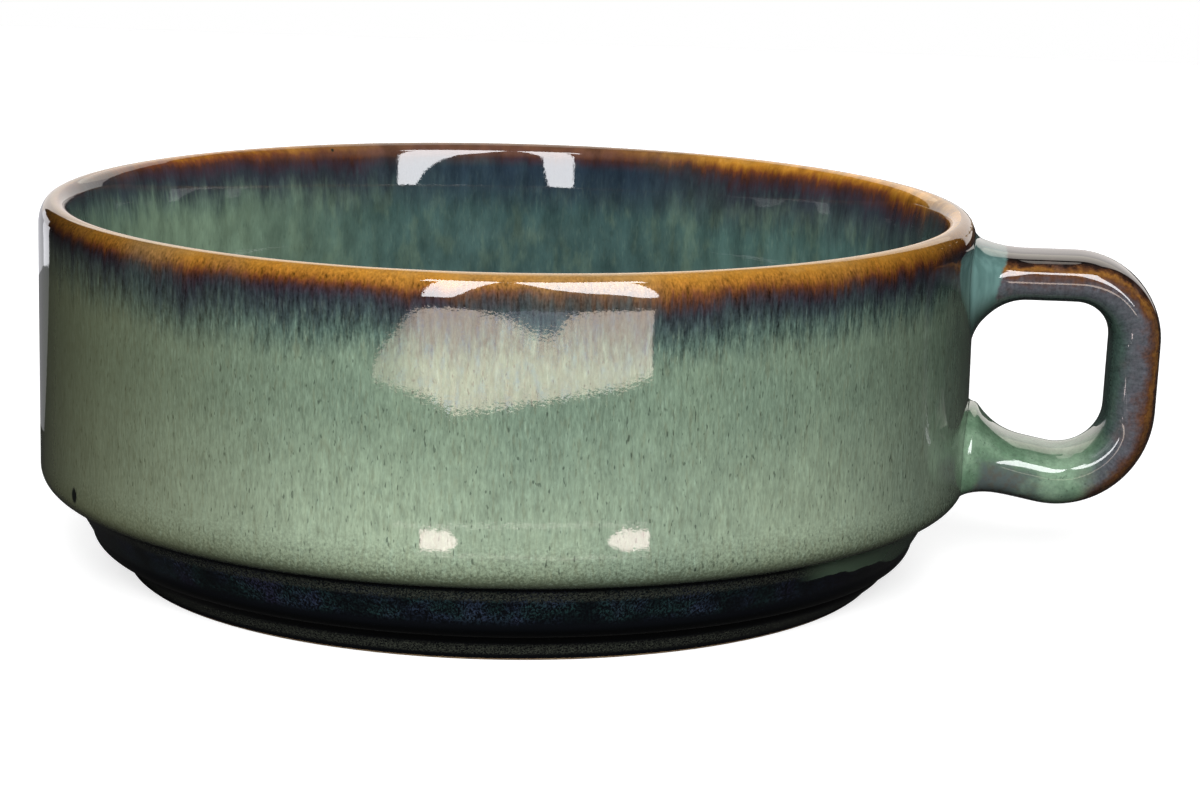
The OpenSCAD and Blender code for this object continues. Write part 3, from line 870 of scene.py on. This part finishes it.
cards = dict(
    warm=(1, 0.93, 0.84, 1), cool=(0.95, 0.95, 1, 1), rose=(0.97, 0.97, 1, 1), sand=(1, 0.8, 0.64, 1),
    lilac=(0.72, 0.74, 1, 1), shell=(1, 0.8, 0.78, 1), pearl=(1, 0.94, 0.9, 1),
    height=0.0006, columns=60, rows=8,  # metres above the table, and the faces of a dome
    # a sparkling card's grain and flecks, and how its strength rises from the left, on a slant
    noises=dict(grain=(330, 1, 3, 0.7)), grain=[(("grain", 0.5),)], stretch=(1, 0.4, 1),
    fleckNoise=(170, 3, 0.6), flecks=(0.52, 0.66, 0, 0.8), slant=-0.25, fade=(-0.03, 0.03), faded=0.45,
)

# name, colour, strength, outline in mm on the table, and the second colour of a sparkling card
flatCards = [
    ("window_patch", "sand", 8, [
        (-99, -276), (-90, -297), (-80, -324), (-71, -339), (-58, -347), (-30, -352), (-8, -346), (14, -339),
        (35, -331), (49, -319), (61, -309), (77, -304), (91, -304), (103, -313), (118, -319), (139, -316),
        (176, -298), (210, -277.5), (179, -244), (159, -218), (125, -226), (98, -233), (72, -237.5), (46, -239),
        (21, -240), (-3.5, -237), (-15.5, -234.6), (-24, -237), (-38, -243), (-52, -244.5), (-66, -245), (-81, -245),
        (-93, -244), (-98, -254)], "lilac"),
    ("patch_veil", "lilac", 1.7, [
        (20, -336), (35, -331), (49, -319), (61, -309), (77, -304), (91, -304), (103, -313), (118, -319), (100, -334),
        (75, -341), (50, -342)], "cool"),
    ("tab_left", "shell", 13.5, [
        (-22.3, -145.9), (-9.9, -148.3), (-6.8, -145.9), (-4.2, -141.5), (-5.9, -137.4), (-8.5, -135), (-13.5, -135),
        (-19.3, -134.9)]),
    ("tab_right", "shell", 13.5, [
        (78.4, -124.4), (68.3, -131.5), (63.2, -131.3), (58.3, -129.1), (58.4, -124.9), (61.4, -120.2),
        (66.4, -117.9), (70.9, -114.9)]),
    ("line_far", "warm", 6, [
        (-35.3, -146.6), (-4.2, -152.2), (24.1, -151.5), (56.2, -142.6), (80.9, -128.6),
        (80.9, -127.6), (56.2, -141.6), (24.1, -150.5), (-4.2, -151.2), (-35.3, -145.6)]),
    ("line_near", "warm", 6, [
        (-20.5, -131.6), (1.3, -133.5), (20.9, -132), (47.4, -124.1), (68.7, -112.3),
        (68.7, -111.7), (47.4, -123.5), (20.9, -131.4), (1.3, -132.9), (-20.5, -131)]),
    ("left_strip", "cool", 1.7, [
        (-205, 207), (-234, 187), (-301, 262), (-1400, 1500), (-1180, 1660), (-259.5, 292)]),
    ("strip_edge", "cool", 0.75, [(-122, 227), (-205, 207), (-259.5, 292), (-1180, 1660), (-448, 1640)]),
    ("left_sheen", "cool", 0.25, [(-80, 90), (-110, 60), (-234, 187), (-205, 207), (-122, 227)]),
]

# name, colour, strength, distance in metres, azimuths, lower edge and upper edge in degrees
domeCards = [
    ("front_window", "rose", 17, 0.765, (-12.5, -6, -4, -2.5, 0, 3.5, 8, 12, 16, 20, 24, 28, 31.5, 34, 36, 39.5),
     (4, 4, 12, 24, 38, 51.8, 51.8, 40, 31, 23, 18, 15.5, 12, 7, 5, 5), (52,) * 16),
    ("bar_left", "rose", 17, 0.77, (-18, 3.5), (47, 50), (54, 54)),
    ("bar_right", "rose", 17, 0.77, (8.5, 45), (50, 47), (54, 54)),
    # a bright wall behind, brightest above the height of the eye, dimmer behind the handle
    ("back_low", "pearl", 1.1, 1.2, (150, 211), (0.2, 0.2), (20, 20)),
    ("back_corner", "cool", 1.4, 1.21, (211, 222), (0.2, 0.2), (5, 5)),
    ("back_middle", "warm", 1.8, 1.2, (176.5, 211), (20, 20), (48, 48)),
    ("back_handle", "warm", 1.6, 1.2, (150, 176.5), (20, 20), (42, 42)),
    ("back_high", "warm", 1.6, 1.2, (165, 195), (48, 48), (68, 68)),
]


def glowMaterial(name, colour, strength, fleck=None):
    # a plain glow, or a sparkling one: colour * (1 + grain), mixed with the second colour by a coarser noise,
    # its strength rising from faded * strength on the left to strength
    paint = newMaterial(name, cards["noises"])
    if fleck:
        grain = paint.tinted(colour, paint.total(1, cards["grain"]))
        flecks = paint.noise(paint.stretched(paint.place, cards["stretch"]), *cards["fleckNoise"])
        colour = paint.mix(paint.span(flecks, *cards["flecks"]), grain, fleck)
        lean = paint.math("MULTIPLY_ADD", paint.values["y"], cards["slant"], paint.values["x"])
        strength = paint.span(lean, *cards["fade"], strength * cards["faded"], strength)
    return paint.close(paint.node("Emission", Color=colour, Strength=strength))


def standCard(name, points, faces, material):
    # a card that only reflections see
    mesh = bpy.data.meshes.new(name)
    mesh.from_pydata([tuple(p) for p in points], [], faces)
    mesh.materials.append(material)
    card = bpy.data.objects.new(name, mesh)
    bpy.context.collection.objects.link(card)
    card.visible_camera = card.visible_diffuse = card.visible_shadow = card.visible_transmission = False


def layCard(name, colour, strength, outline, fleck=None):
    # a flat card on the table
    flat = [(x * mm, y * mm, cards["height"]) for x, y in outline]
    material = glowMaterial(name, cards[colour], strength, fleck and cards[fleck])
    standCard(name, flat, [tuple(range(len(flat)))], material)


def domeCard(name, colour, strength, distance, azimuths, lows, highs):
    # distance * direction(azimuth, elevation), with the elevation from the lower to the upper edge by even steps
    columns, rows = cards["columns"], cards["rows"]
    az = np.linspace(azimuths[0], azimuths[-1], columns + 1)
    low, high = np.interp(az, azimuths, lows), np.interp(az, azimuths, highs)
    v = np.linspace(0, 1, rows + 1)[:, None]
    grid = direction(az[None, :] + 0 * v, low * (1 - v) + high * v) * distance
    a = (np.arange(rows)[:, None] * (columns + 1) + np.arange(columns)).ravel()
    faces = np.stack([a, a + 1, a + columns + 2, a + columns + 1], -1).tolist()
    standCard(name, grid.reshape(-1, 3), faces, glowMaterial(name, cards[colour], strength))


setWorld(studio)
layFloor(studio)
for lamp in lamps:
    hangLamp(*lamp)
for card in flatCards:
    layCard(*card)
for card in domeCards:
    domeCard(*card)
print("studio lit")

bpy.context.scene.view_settings.view_transform = "Standard"
